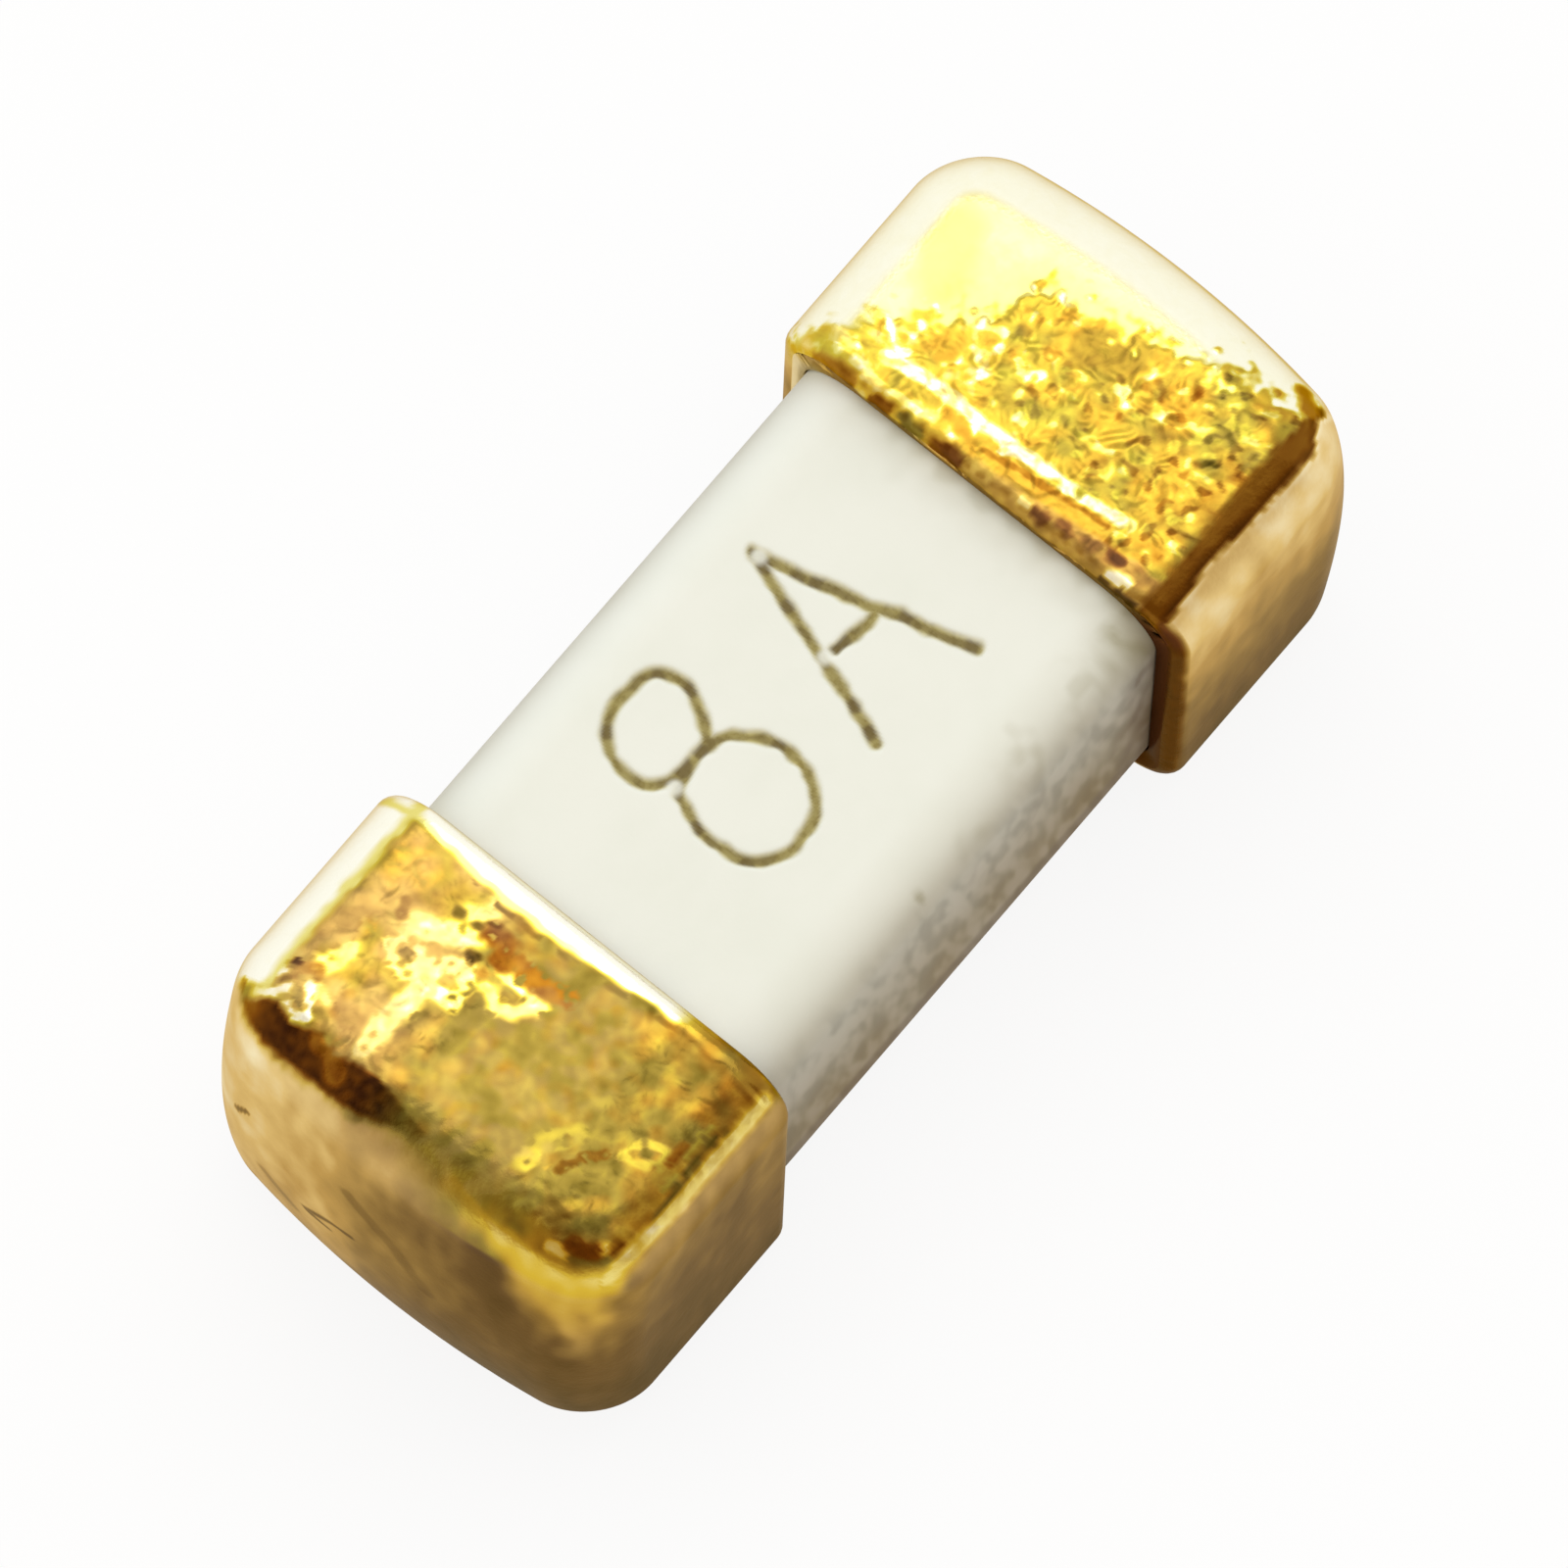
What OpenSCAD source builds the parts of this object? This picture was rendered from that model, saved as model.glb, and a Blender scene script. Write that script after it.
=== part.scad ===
// Surface-mount chip fuse: a square ceramic tube with a drawn metal cap on each end.
// A wire strung through the tube melts on overload, and solder in the caps holds its ends.
// The length runs along X, and the origin is under the middle, on the surface it rests on.

/* [End caps] */
// Length of the fuse over both caps
fuse_len = 6.1; // [5.8:0.1:6.6]
// Width and height of the square caps
cap_w = 2.5; // [2.4:0.05:2.8]
// Length of each cap along the fuse
cap_len = 1.6; // [1.4:0.05:1.8]
// Thickness of the cap's sheet metal
cap_wall = 0.15; // [0.1:0.01:0.18]
// Outer radius of the cap's long edges
cap_edge_r = 0.36; // [0.3:0.02:0.4]
// Outer radius round the cap's closed end
cap_end_r = 0.4; // [0.36:0.02:0.46]
// Height of the shallow dome on the closed end
cap_dome = 0.14; // [0.08:0.01:0.16]
// Radius on the outside of the cap's open rim
cap_rim_r = 0.09; // [0.05:0.01:0.1]
// Trim of the cap's corners, as a share of the closed end's radius
corner_trim = 0.5; // [0.3:0.05:0.6]

/* [Ceramic body] */
// Gap all round between the ceramic and the inside of a cap
fit_gap = 0.02; // [0.01:0.005:0.03]
// Radius of the ceramic's long edges
body_edge_r = 0.34; // [0.3:0.02:0.4]
// Radius round the ceramic's ends
body_end_r = 0.25; // [0.22:0.01:0.28]
// Diameter of the bore that the wire runs through
bore_d = 1.5; // [1.2:0.1:1.6]

/* [Rating mark] */
// Height of the figure and letter on top
mark_h = 1.2; // [1:0.05:1.3]
// Width of the engraved line
mark_line = 0.07; // [0.05:0.01:0.1]
// Depth of the engraved line
mark_depth = 0.02; // [0.01:0.005:0.04]
// Distance between the middles of the figure and the letter
mark_pitch = 0.96; // [0.9:0.02:1.1]
// How far the mark sits off the face's middle line, toward the figures' tops
mark_shift = 0.09; // [0:0.01:0.12]

/* [Fuse wire and solder] */
// Diameter of the wire
wire_d = 0.2; // [0.1:0.02:0.2]
// Radius of the wire's bends, on its middle line
wire_bend_r = 0.15; // [0.13:0.01:0.17]
// Thickness of the solder between the ceramic and the closed end
solder_t = 0.32; // [0.3:0.01:0.36]
// How far the solder reaches into the bore
solder_plug = 0.2; // [0.1:0.02:0.3]

/* [Hidden] */
$fn = 96;
dome_fn = 4 * $fn;

// Places along the length, measured from the middle
half_len = fuse_len / 2;
half_cap = cap_w / 2;
rim_x = half_len - cap_len;
floor_x = half_len - cap_wall;
body_end_x = floor_x - solder_t;
axis_z = half_cap;

// Closed end: the dome's ball meets the edge circles a few degrees short of being tangent to them
meet_angle = 5;
flat_half = half_cap - cap_end_r;
dome_r = (half_cap * half_cap + cap_dome * cap_dome) / (2 * cap_dome);
dome_x = half_len - dome_r;
meet_turn = asin(flat_half / dome_r) + meet_angle;
meet_half = flat_half + cap_end_r * sin(meet_turn);
edge_x = dome_x + sqrt(dome_r * dome_r - meet_half * meet_half) - cap_end_r * cos(meet_turn);
middle_half = (flat_half + meet_half) / 2;

// Ball that trims the cap's corners, centred on the axis one half width behind the edge circles
ball_x = edge_x - half_cap;
corner_half = half_cap - cap_edge_r * (1 - sqrt(0.5));
corner_x = edge_x + sqrt(cap_end_r * cap_end_r - pow(corner_half - flat_half, 2));
ball_r = norm([corner_x - ball_x, corner_half, corner_half]) - corner_trim * cap_end_r;

// Ceramic body
body_half = half_cap - cap_wall - fit_gap;
body_w = 2 * body_half;
body_top_z = axis_z + body_half;
bore_r = bore_d / 2;

// Mark: the figure is two rings that touch, and every size is on the line's middle.
// The shares are of the mark's height.
lower_ring_share = 0.275;
letter_w_share = 0.6;
letter_bar_share = 0.42;
line_h = mark_h - mark_line;
lower_ring_r = line_h * lower_ring_share;
upper_ring_r = line_h / 2 - lower_ring_r;
letter_w = line_h * letter_w_share;

// Wire: a slanted stretch, a bend at each end and a short leg across the ceramic's end
wire_r = wire_d / 2;
leg_x = body_end_x + wire_r + fit_gap;
bore_side_gap = 0.05;
leg_reach = 0.05;
wire_slope = atan((bore_r - wire_r - bore_side_gap) / body_end_x);
bend_turn = 90 - wire_slope;
bend_reach = wire_bend_r * tan(bend_turn / 2);
knee_z = leg_x * tan(wire_slope);
leg_start_z = knee_z + bend_reach;
leg_end_z = flat_half + leg_reach;
slant_half = norm([leg_x, knee_z]) - bend_reach;

// A square with round corners, centred on the origin
module round_square(half, r) {
    square([2 * half, 2 * (half - r)], center = true);
    square([2 * (half - r), 2 * half], center = true);
    for (sx = [-1, 1], sy = [-1, 1])
        translate([sx * (half - r), sy * (half - r)])
            circle(r);
}

// Side view of the cap toward +X from start_x on, drawn a wall's inset inside the outer shape.
// Its middle runs on past the closed end, where the dome's ball cuts it.
module cap_profile(inset, start_x, rim_r) {
    half = half_cap - inset;
    translate([start_x + rim_r, -half])
        square([edge_x - start_x - rim_r, 2 * half]);
    translate([start_x, -half + rim_r])
        square([edge_x - start_x, 2 * (half - rim_r)]);
    translate([start_x + rim_r, -middle_half])
        square([fuse_len, 2 * middle_half]);
    for (side = [-1, 1]) {
        translate([edge_x, side * flat_half])
            circle(cap_end_r - inset);
        if (rim_r > 0)
            translate([start_x + rim_r, side * (half - rim_r)])
                circle(rim_r);
    }
}

// The cap's form as a full solid: its square section, its profile from the top and from
// the side, a ball that domes the closed end and a ball that rounds the four corners off
module cap_form(inset, start_x, rim_r = 0) {
    depth = 2 * cap_w;
    intersection() {
        rotate([90, 0, 90])
            linear_extrude(2 * fuse_len, center = true)
                round_square(half_cap - inset, cap_edge_r - inset);
        linear_extrude(depth, center = true)
            cap_profile(inset, start_x, rim_r);
        rotate([90, 0, 0])
            linear_extrude(depth, center = true)
                cap_profile(inset, start_x, rim_r);
        translate([dome_x, 0, 0])
            rotate(180)
                sphere(dome_r - inset, $fn = dome_fn);
        translate([ball_x, 0, 0])
            rotate(180)
                sphere(ball_r - inset);
    }
}

module end_cap() {
    difference() {
        cap_form(0, rim_x, cap_rim_r);
        cap_form(cap_wall, rim_x - cap_wall);
    }
}

// Puts what is made for the +X end at that end or, turned half round, at the -X end
module at_end(turn) {
    translate([0, 0, axis_z])
        rotate([0, turn, 0])
            children();
}

// Side view of the ceramic, with its ends rounded
module body_profile() {
    flat = body_end_x - body_end_r;
    square([2 * flat, body_w], center = true);
    square([2 * body_end_x, body_w - 2 * body_end_r], center = true);
    for (sx = [-1, 1], sy = [-1, 1])
        translate([sx * flat, sy * (body_half - body_end_r)])
            circle(body_end_r);
}

// A ring of the engraved line's width
module ring(r) {
    difference() {
        circle(r + mark_line / 2);
        circle(r - mark_line / 2);
    }
}

// A straight engraved line with round ends
module stroke(from, to) {
    run = to - from;
    translate(from)
        rotate(atan2(run.y, run.x)) {
            translate([0, -mark_line / 2])
                square([norm(run), mark_line]);
            circle(mark_line / 2);
            translate([norm(run), 0])
                circle(mark_line / 2);
        }
}

// The rating as it reads from above: a figure 8 and the letter A for amperes
module rating_mark() {
    translate([-mark_pitch / 2, -line_h / 2]) {
        translate([0, lower_ring_r])
            ring(lower_ring_r);
        translate([0, line_h - upper_ring_r])
            ring(upper_ring_r);
    }
    translate([mark_pitch / 2, -line_h / 2]) {
        top = [0, line_h];
        for (side = [-1, 1])
            stroke([side * letter_w / 2, 0], top);
        bar_half = letter_w / 2 * (1 - letter_bar_share);
        bar_y = letter_bar_share * line_h;
        stroke([-bar_half, bar_y], [bar_half, bar_y]);
    }
}

module ceramic_body() {
    color("#ecebdf")
        difference() {
            translate([0, 0, axis_z])
                intersection() {
                    rotate([90, 0, 90])
                        linear_extrude(fuse_len, center = true)
                            round_square(body_half, body_edge_r);
                    linear_extrude(cap_w, center = true)
                        body_profile();
                    rotate([90, 0, 0])
                        linear_extrude(cap_w, center = true)
                            body_profile();
                }
            translate([0, 0, axis_z])
                rotate([0, 90, 0])
                    cylinder(h = fuse_len, r = bore_r, center = true);
            translate([0, mark_shift, body_top_z - mark_depth])
                linear_extrude(2 * mark_depth)
                    rating_mark();
        }
}

module left_end_cap() {
    color("#d9a92e")
        at_end(180)
            end_cap();
}

module right_end_cap() {
    color("#d9a92e")
        at_end(0)
            end_cap();
}

// Half of the wire: from the middle of the bore to the end of the leg at the +X end
module half_wire() {
    rotate([0, -wire_slope, 0]) {
        rotate([0, 90, 0])
            cylinder(h = slant_half, r = wire_r);
        translate([slant_half, 0, wire_bend_r]) {
            rotate([90, 0, 0])
                rotate(-90)
                    rotate_extrude(angle = bend_turn)
                        translate([wire_bend_r, 0])
                            circle(wire_r);
            rotate([0, -bend_turn, 0])
                translate([0, 0, -wire_bend_r])
                    rotate([0, 90, 0])
                        cylinder(h = leg_end_z - leg_start_z, r = wire_r);
        }
    }
}

module whole_wire() {
    for (turn = [0, 180])
        at_end(turn)
            half_wire();
}

module fuse_wire() {
    color("#c9cacb")
        whole_wire();
}

// Solder of the +X end: a layer against the cap's closed end and a plug in the bore
module solder_form() {
    intersection() {
        cap_form(cap_wall, rim_x);
        translate([body_end_x, -cap_w, -cap_w])
            cube([cap_len, 2 * cap_w, 2 * cap_w]);
    }
    translate([body_end_x - solder_plug, 0, 0])
        rotate([0, 90, 0])
            cylinder(h = solder_plug, r = bore_r);
}

module solder(turn) {
    color("#9a9c9f")
        difference() {
            at_end(turn)
                solder_form();
            whole_wire();
        }
}

module left_solder() {
    solder(180);
}

module right_solder() {
    solder(0);
}

ceramic_body();
left_end_cap();
right_end_cap();
fuse_wire();
left_solder();
right_solder();
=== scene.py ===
import bpy
import numpy as np
from mathutils import Matrix, Vector


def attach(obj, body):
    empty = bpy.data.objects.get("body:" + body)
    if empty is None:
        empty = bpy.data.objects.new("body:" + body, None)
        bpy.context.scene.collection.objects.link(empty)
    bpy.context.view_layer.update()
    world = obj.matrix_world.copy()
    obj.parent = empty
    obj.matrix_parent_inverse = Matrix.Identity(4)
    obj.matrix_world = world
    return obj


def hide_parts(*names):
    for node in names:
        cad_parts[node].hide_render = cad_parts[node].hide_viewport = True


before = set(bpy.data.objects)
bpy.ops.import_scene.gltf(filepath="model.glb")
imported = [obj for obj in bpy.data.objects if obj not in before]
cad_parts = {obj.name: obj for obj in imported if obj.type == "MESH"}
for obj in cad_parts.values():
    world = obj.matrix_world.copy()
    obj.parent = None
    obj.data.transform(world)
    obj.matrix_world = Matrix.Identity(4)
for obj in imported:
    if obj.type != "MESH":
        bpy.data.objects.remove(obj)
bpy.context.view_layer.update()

# Sizes in millimetres, the same as in the solids. They become metres in new_piece.
MM = 0.001
HALF_LEN = 3.05
HALF_CAP = 1.25
AXIS_Z = HALF_CAP
RIM_X = 1.45
CAP_WALL = 0.15
CAP_EDGE_R = 0.36
CAP_RIM_R = 0.09
DOME_DROP = 0.14
BODY_HALF = 1.08
BODY_EDGE_R = 0.34
BODY_END_R = 0.25
BODY_END_X = 2.58
BORE_R = 0.75
MARK_DEPTH = 0.02
CREST = 0.016  # the crumpled gold's crests above the smooth gold

# Turn of the noise's cells against the object's axes
TURNS = Matrix.Rotation(0.7, 3, "X"), Matrix.Rotation(0.5, 3, "Y"), Matrix.Rotation(0.9, 3, "Z")
CELL_TURN = np.array(TURNS[0] @ TURNS[1] @ TURNS[2])


def lattice(ix, iy, iz, seed):
    """A fixed random number from 0 to 1 for each whole-number corner, by mixing the bits of its place."""
    low = 0xFFFFFFFF
    h = (ix * 374761393 + iy * 668265263 + iz * 1274126177 + seed * 2246822519) & low
    h = ((h ^ (h >> 13)) * 1103515245) & low
    h = ((h ^ (h >> 16)) * 2654435761) & low
    return (h ^ (h >> 15)) / low


def soft_noise(p, size, seed):
    """Smooth noise from about -1 to 1: a random slope at each corner of cells of that size, eased between
    the corners. The cells are turned, so that their sides don't line up with the object's."""
    above_zero = 4096
    q = (p @ CELL_TURN) / size
    low = np.floor(q)
    f = q - low
    fade = f**3 * (f * (6 * f - 15) + 10)
    i = low.astype(np.int64) + above_zero
    total = 0
    for corner in np.ndindex(2, 2, 2):
        pick = lattice(*(i[..., k] + corner[k] for k in range(3)), seed)
        slope = np.stack([pick, (pick * 977.7) % 1, (pick * 7919.3) % 1], -1) * 2 - 1
        weight = np.prod(np.where(corner, fade, 1 - fade), -1)
        total = total + weight * (slope * (f - corner)).sum(-1)
    return 1.8 * total


def crumple(p, seed):
    """A crumpled skin from -1 to 1: soft noise of three sizes, the coarser two creased where they pass 0."""
    warp = np.stack([soft_noise(p, 0.2, seed + k) for k in range(3)], -1)
    q = p + 0.04 * warp
    coarse = 0.6 - 2.0 * np.abs(soft_noise(q, 0.2, seed + 3))
    middle = 0.5 - 1.6 * np.abs(soft_noise(q, 0.1, seed + 4))
    return np.clip(0.5 * coarse + 0.5 * middle + 0.45 * soft_noise(q, 0.05, seed + 5), -1, 1)


def ease(v, start, end):
    """0 up to start, 1 from end on, and a smooth step between them. start may be above end."""
    t = np.clip((v - start) / (end - start), 0, 1)
    return t * t * (3 - 2 * t)


def lay(field, mask, value):
    """The field, changed to the value where the mask is 1 and partly where it is between 0 and 1."""
    return field + (value - field) * mask


def between(v, stops):
    """The value at v on straight lines between the stops, each a place and its value."""
    places, values = zip(*stops)
    return np.interp(v, places, values)


def near_stroke(x, y, points):
    """Distance of each place to a line through the points."""
    best = np.full(x.shape, 9.0)
    for (ax, ay), (bx, by) in zip(points[:-1], points[1:]):
        vx, vy = bx - ax, by - ay
        t = np.clip(((x - ax) * vx + (y - ay) * vy) / (vx * vx + vy * vy), 0, 1)
        best = np.minimum(best, np.hypot(x - ax - t * vx, y - ay - t * vy))
    return best


def seen_height(z, seen):
    """Heights drawn together below the cap's top where seen is 1, so that marks on those sides come out
    tall. The photograph looks down on the fuse and shortens the sides that it sees."""
    return HALF_CAP - (1 - 0.55 * seen) * (HALF_CAP - z)


def streak(x, y, points, half, ruffle=0.0):
    """1 on a line through the points, fading to 0 round half its width. ruffle shifts its edge."""
    return 1 - ease(near_stroke(x, y, points) + ruffle, 0.6 * half, 1.4 * half)


def section(half, r, sides, arc):
    """The square section with round corners, from the middle of its lowest side round through +Y, the top
    and -Y. sides counts the steps on each of these four sides, and arc those on a corner. Gives the points
    (y, z) and the outward normals."""
    flat = half - r
    pieces = []
    normals = []
    for k, steps in enumerate(sides):
        turn = np.pi / 2 * k
        along = np.linspace(-flat, flat, steps, endpoint=False)
        side = np.stack([along, np.full(steps, -half)], -1)
        bend = np.linspace(0, np.pi / 2, arc, endpoint=False) - np.pi / 2
        corner = np.stack([flat + r * np.cos(bend), -flat + r * np.sin(bend)], -1)
        points = np.concatenate([side, corner])
        out = np.concatenate([np.tile([0.0, -1.0], (steps, 1)), np.stack([np.cos(bend), np.sin(bend)], -1)])
        rotate = np.array([[np.cos(turn), np.sin(turn)], [-np.sin(turn), np.cos(turn)]])
        pieces.append(points @ rotate)
        normals.append(out @ rotate)
    return np.concatenate(pieces), np.concatenate(normals)


def new_object(name, data):
    """An object with this mesh, lamp or camera, linked to the scene."""
    made = bpy.data.objects.new(name, data)
    bpy.context.collection.objects.link(made)
    return made


def new_piece(name, rings, masks, material, nodes, wrap=False, turned=False):
    """A mesh from rings of points, in mm above the floor: each ring joins the next one round its whole
    length. With wrap the last ring joins the first. Otherwise the first and last ring each close on one
    point, their middle. turned reverses the faces, for rings that are mirrored. masks are named numbers for
    each point."""
    rows, columns = rings.shape[:2]
    body = rings if wrap else rings[1:-1]
    points = body.reshape(-1, 3)
    values = {k: (v if wrap else v[1:-1]).reshape(-1) for k, v in masks.items()}
    count = len(body)
    index = np.arange(count * columns).reshape(count, columns)
    down = np.roll(index, -1, 0) if wrap else index[1:]
    up = index if wrap else index[:-1]
    quads = np.stack([up, np.roll(up, -1, 1), np.roll(down, -1, 1), down], -1).reshape(-1, 4)
    triangles = np.zeros((0, 3), int)
    if not wrap:
        first, last = len(points), len(points) + 1
        points = np.concatenate([points, rings[:1].mean(1), rings[-1:].mean(1)])
        values = {k: np.append(v, [masks[k][0].mean(), masks[k][-1].mean()]) for k, v in values.items()}
        start, end = index[0], index[-1]
        triangles = np.concatenate([
            np.stack([np.full(columns, first), np.roll(start, -1), start], -1),
            np.stack([np.full(columns, last), end, np.roll(end, -1)], -1),
        ])
    if turned:
        quads, triangles = quads[:, ::-1], triangles[:, ::-1]
    mesh = bpy.data.meshes.new(name)
    mesh.from_pydata((points * MM).tolist(), [], quads.tolist() + triangles.tolist())
    mesh.shade_smooth()
    for key, v in values.items():
        mesh.attributes.new(key, "FLOAT", "POINT").data.foreach_set("value", v.astype(np.float32))
    mesh.materials.append(material)
    piece = new_object(name, mesh)
    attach(piece, "root")
    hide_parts(*nodes)


# Shader helpers

def paint(code):
    """A colour as the shader takes it, from the six hex digits that a screen shows."""
    c = np.array([int(code[i : i + 2], 16) / 255 for i in (0, 2, 4)])
    c = np.where(c <= 0.04045, c / 12.92, ((c + 0.055) / 1.055) ** 2.4)
    return (*c.tolist(), 1.0)


class Wiring:
    """Adds nodes to one node tree. A value given for a socket is set on it, and a socket is linked to it."""

    def __init__(self, tree):
        self.tree = tree

    def put(self, socket, value):
        if isinstance(value, bpy.types.NodeSocket):
            self.tree.links.new(value, socket)
        else:
            socket.default_value = value

    def node(self, kind, values=(), **settings):
        made = self.tree.nodes.new("ShaderNode" + kind)
        for key, value in settings.items():
            setattr(made, key, value)
        for key, value in dict(values).items():
            self.put(made.inputs[key], value)
        return made

    def math(self, operation, *values, clamp=False):
        made = self.node("Math", operation=operation, use_clamp=clamp)
        for socket, value in zip(made.inputs, values):
            self.put(socket, value)
        return made.outputs[0]

    def mix(self, amount, a, b):
        made = self.node("Mix", {0: amount, 6: a, 7: b}, data_type="RGBA")
        return made.outputs[2]

    def blend(self, amount, a, b):
        made = self.node("Mix", {0: amount, 2: a, 3: b}, data_type="FLOAT")
        return made.outputs[0]

    def step(self, value, start, end):
        values = {0: value, 1: start, 2: end, 3: 0.0, 4: 1.0}
        return self.node("MapRange", values, interpolation_type="SMOOTHSTEP").outputs[0]

    def place(self):
        """The point on the object in millimetres."""
        coord = self.node("TexCoord").outputs["Object"]
        return self.node("Mapping", {"Vector": coord, "Scale": [1 / MM] * 3}).outputs[0]

    def noise(self, place, scale, detail=2.0, rough=0.5, warp=0.0):
        values = {"Vector": place, "Scale": scale, "Detail": detail, "Roughness": rough, "Distortion": warp}
        return self.node("TexNoise", values).outputs["Fac"]

    def mask(self, name):
        return self.node("Attribute", attribute_name=name, attribute_type="GEOMETRY").outputs["Fac"]

    def ramp(self, value, stops):
        """A colour for each value, from stops of place and colour."""
        made = self.node("ValToRGB", {0: value})
        elements = made.color_ramp.elements
        while len(elements) < len(stops):
            elements.new(0.5)
        for element, (place, colour) in zip(elements, stops):
            element.position = place
            element.color = paint(colour)
        return made.outputs["Color"]


def new_material(name):
    """An empty material, its wiring, and its Principled BSDF."""
    material = bpy.data.materials.new(name)
    material.use_nodes = True
    w = Wiring(material.node_tree)
    return material, w, material.node_tree.nodes["Principled BSDF"]


def group(name, numbers, outputs):
    """A shader node group with number inputs and outputs, and its wiring."""
    tree = bpy.data.node_groups.new(name, "ShaderNodeTree")
    for key, value in numbers.items():
        tree.interface.new_socket(key, in_out="INPUT", socket_type="NodeSocketFloat").default_value = value
    for key in outputs:
        tree.interface.new_socket(key, in_out="OUTPUT", socket_type="NodeSocketFloat")
    source = tree.nodes.new("NodeGroupInput").outputs
    sink = tree.nodes.new("NodeGroupOutput").inputs
    return tree, Wiring(tree), source, sink


def blotch_group():
    """Blotches: noise over the object's own place, cut to a soft-edged mask that covers the share Cover."""
    tree, w, source, sink = group("blotches", {"Scale": 5.0, "Cover": 0.5, "Edge": 0.1}, ["Mask"])
    cloud = w.noise(w.place(), source["Scale"], detail=3.0, rough=0.6)
    middle = w.math("SUBTRACT", 1.0, source["Cover"])
    low = w.math("SUBTRACT", middle, source["Edge"])
    high = w.math("ADD", middle, source["Edge"])
    w.put(sink["Mask"], w.step(cloud, low, high))
    return tree


def grain_group():
    """Fine grain: a height from 0 to 1 made of two noises, the second one finer and with less share."""
    finer, share = 3.0, 0.4
    tree, w, source, sink = group("fine grain", {"Scale": 20.0}, ["Height"])
    place = w.place()
    coarse = w.noise(place, source["Scale"])
    fine = w.noise(place, w.math("MULTIPLY", source["Scale"], finer))
    w.put(sink["Height"], w.blend(share, coarse, fine))
    return tree


BLOTCHES = blotch_group()
GRAIN = grain_group()


def blotches(w, scale, cover, edge):
    values = {"Scale": scale, "Cover": cover, "Edge": edge}
    return w.node("Group", values, node_tree=BLOTCHES).outputs["Mask"]


def grain(w, scale):
    return w.node("Group", {"Scale": scale}, node_tree=GRAIN).outputs["Height"]


def bump(w, shader, height, depth, strength=1.0):
    """Roughens the shading by a height from 0 to 1 that stands for that depth in millimetres."""
    values = {"Height": height, "Distance": depth * MM, "Strength": strength}
    w.put(shader.inputs["Normal"], w.node("Bump", values).outputs[0])


# Materials

def ceramic_finish():
    """Matt fired ceramic: warm off-white with faint stains, a grey-brown painted shade, darker downward, and
    a mottle on its sides, painted shade by the cap beyond the letter and along the lower edge, and the
    burnt-in mark."""
    material, w, shader = new_material("fired ceramic")
    stain = blotches(w, 1.6, 0.45, 0.2)
    colour = w.mix(w.math("MULTIPLY", stain, 0.5), paint("eef0e6"), paint("e8ebdf"))
    # Painted shade: the sides turn grey-brown toward the bottom
    colour = w.mix(w.mask("painted_side_shade"), colour, paint("9a8659"))
    for name, tint, amount in (("dirty", "6a5e48", 0.33), ("bare", "dcd3c6", 0.28)):
        colour = w.mix(w.math("MULTIPLY", w.mask(name), amount), colour, paint(tint))
    # Painted shade by the far cap's rim and along the lower edge, in one mask with the stains
    stains_and_shade = w.mask("stains_and_shade")
    colour = w.mix(stains_and_shade, colour, w.mix(w.mask("side"), paint("938a55"), paint("6e5842")))
    mark = w.mask("mark")
    burn = w.mix(blotches(w, 22.0, 0.45, 0.15), paint("bfb36e"), paint("a2944f"))
    colour = w.mix(mark, colour, w.mix(w.mask("burnt"), burn, paint("54401c")))
    w.put(shader.inputs["Base Color"], colour)
    w.put(shader.inputs["Roughness"], w.blend(stain, 0.62, 0.7))
    shader.inputs["Specular IOR Level"].default_value = 0.3
    bump(w, shader, grain(w, 25.0), 0.0008)
    return material


def gold_finish():
    """Gold plating. tone runs from dark brown to pale gold and carries painted highlights, shade and dark
    reflections besides the gold's own tones, and hue runs from olive to orange. Where they are 1, satin
    makes the plating dull and tan, rough crumples it and painted shade hides it under dark brown that is not
    metal."""
    material, w, shader = new_material("gold plating")
    rough, tone, hue, satin = (w.mask(k) for k in ("rough", "tone", "hue", "satin"))
    mottle = w.math("SUBTRACT", w.noise(w.place(), 9.0, detail=3.0, rough=0.6, warp=0.6), 0.5)
    mottled = w.math("ADD", tone, w.math("MULTIPLY", mottle, w.blend(rough, 0.03, 0.3)))
    warm = w.ramp(mottled, [(0.0, "3a1d0c"), (0.2, "7a450f"), (0.4, "a06c1c"), (0.6, "c79830"),
                            (0.75, "dbb53a"), (0.88, "eed880"), (1.0, "fffcee")])
    cool = w.ramp(mottled, [(0.0, "2e260e"), (0.2, "5e4e18"), (0.4, "86722e"), (0.6, "ae9936"),
                            (0.75, "cab93e"), (0.88, "eae182"), (1.0, "fffeea")])
    colour = w.mix(hue, cool, warm)
    # The tan of the satin parts takes the tone, which on the caps' sides is painted shade, darker downward
    cloud = w.noise(w.place(), 7.0, detail=3.0, rough=0.6)
    worn = w.math("ADD", tone, w.math("MULTIPLY", w.math("SUBTRACT", cloud, 0.5), 0.14))
    tan = w.ramp(worn, [(0.0, "45332a"), (0.25, "6b523b"), (0.45, "93764a"), (0.7, "cba765"),
                        (0.85, "e9cb88"), (1.0, "fbeec6")])
    colour = w.mix(satin, colour, tan)
    # Painted shade, dark brown and not metal: on the far rim's seen side, inside the caps and along a lower
    # edge
    painted_shade = w.mask("painted_shade")
    w.put(shader.inputs["Base Color"], w.mix(painted_shade, colour, paint("643a22")))
    w.put(shader.inputs["Metallic"], w.math("SUBTRACT", 1.0, painted_shade))
    shader.inputs["Specular Tint"].default_value = paint("dfcca8")
    shader.inputs["Specular IOR Level"].default_value = 0.0
    shine = w.blend(rough, 0.22, 0.36)
    w.put(shader.inputs["Roughness"], w.blend(satin, shine, 0.42))
    bump(w, shader, grain(w, 14.0), 0.005, 0.5)
    return material


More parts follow.
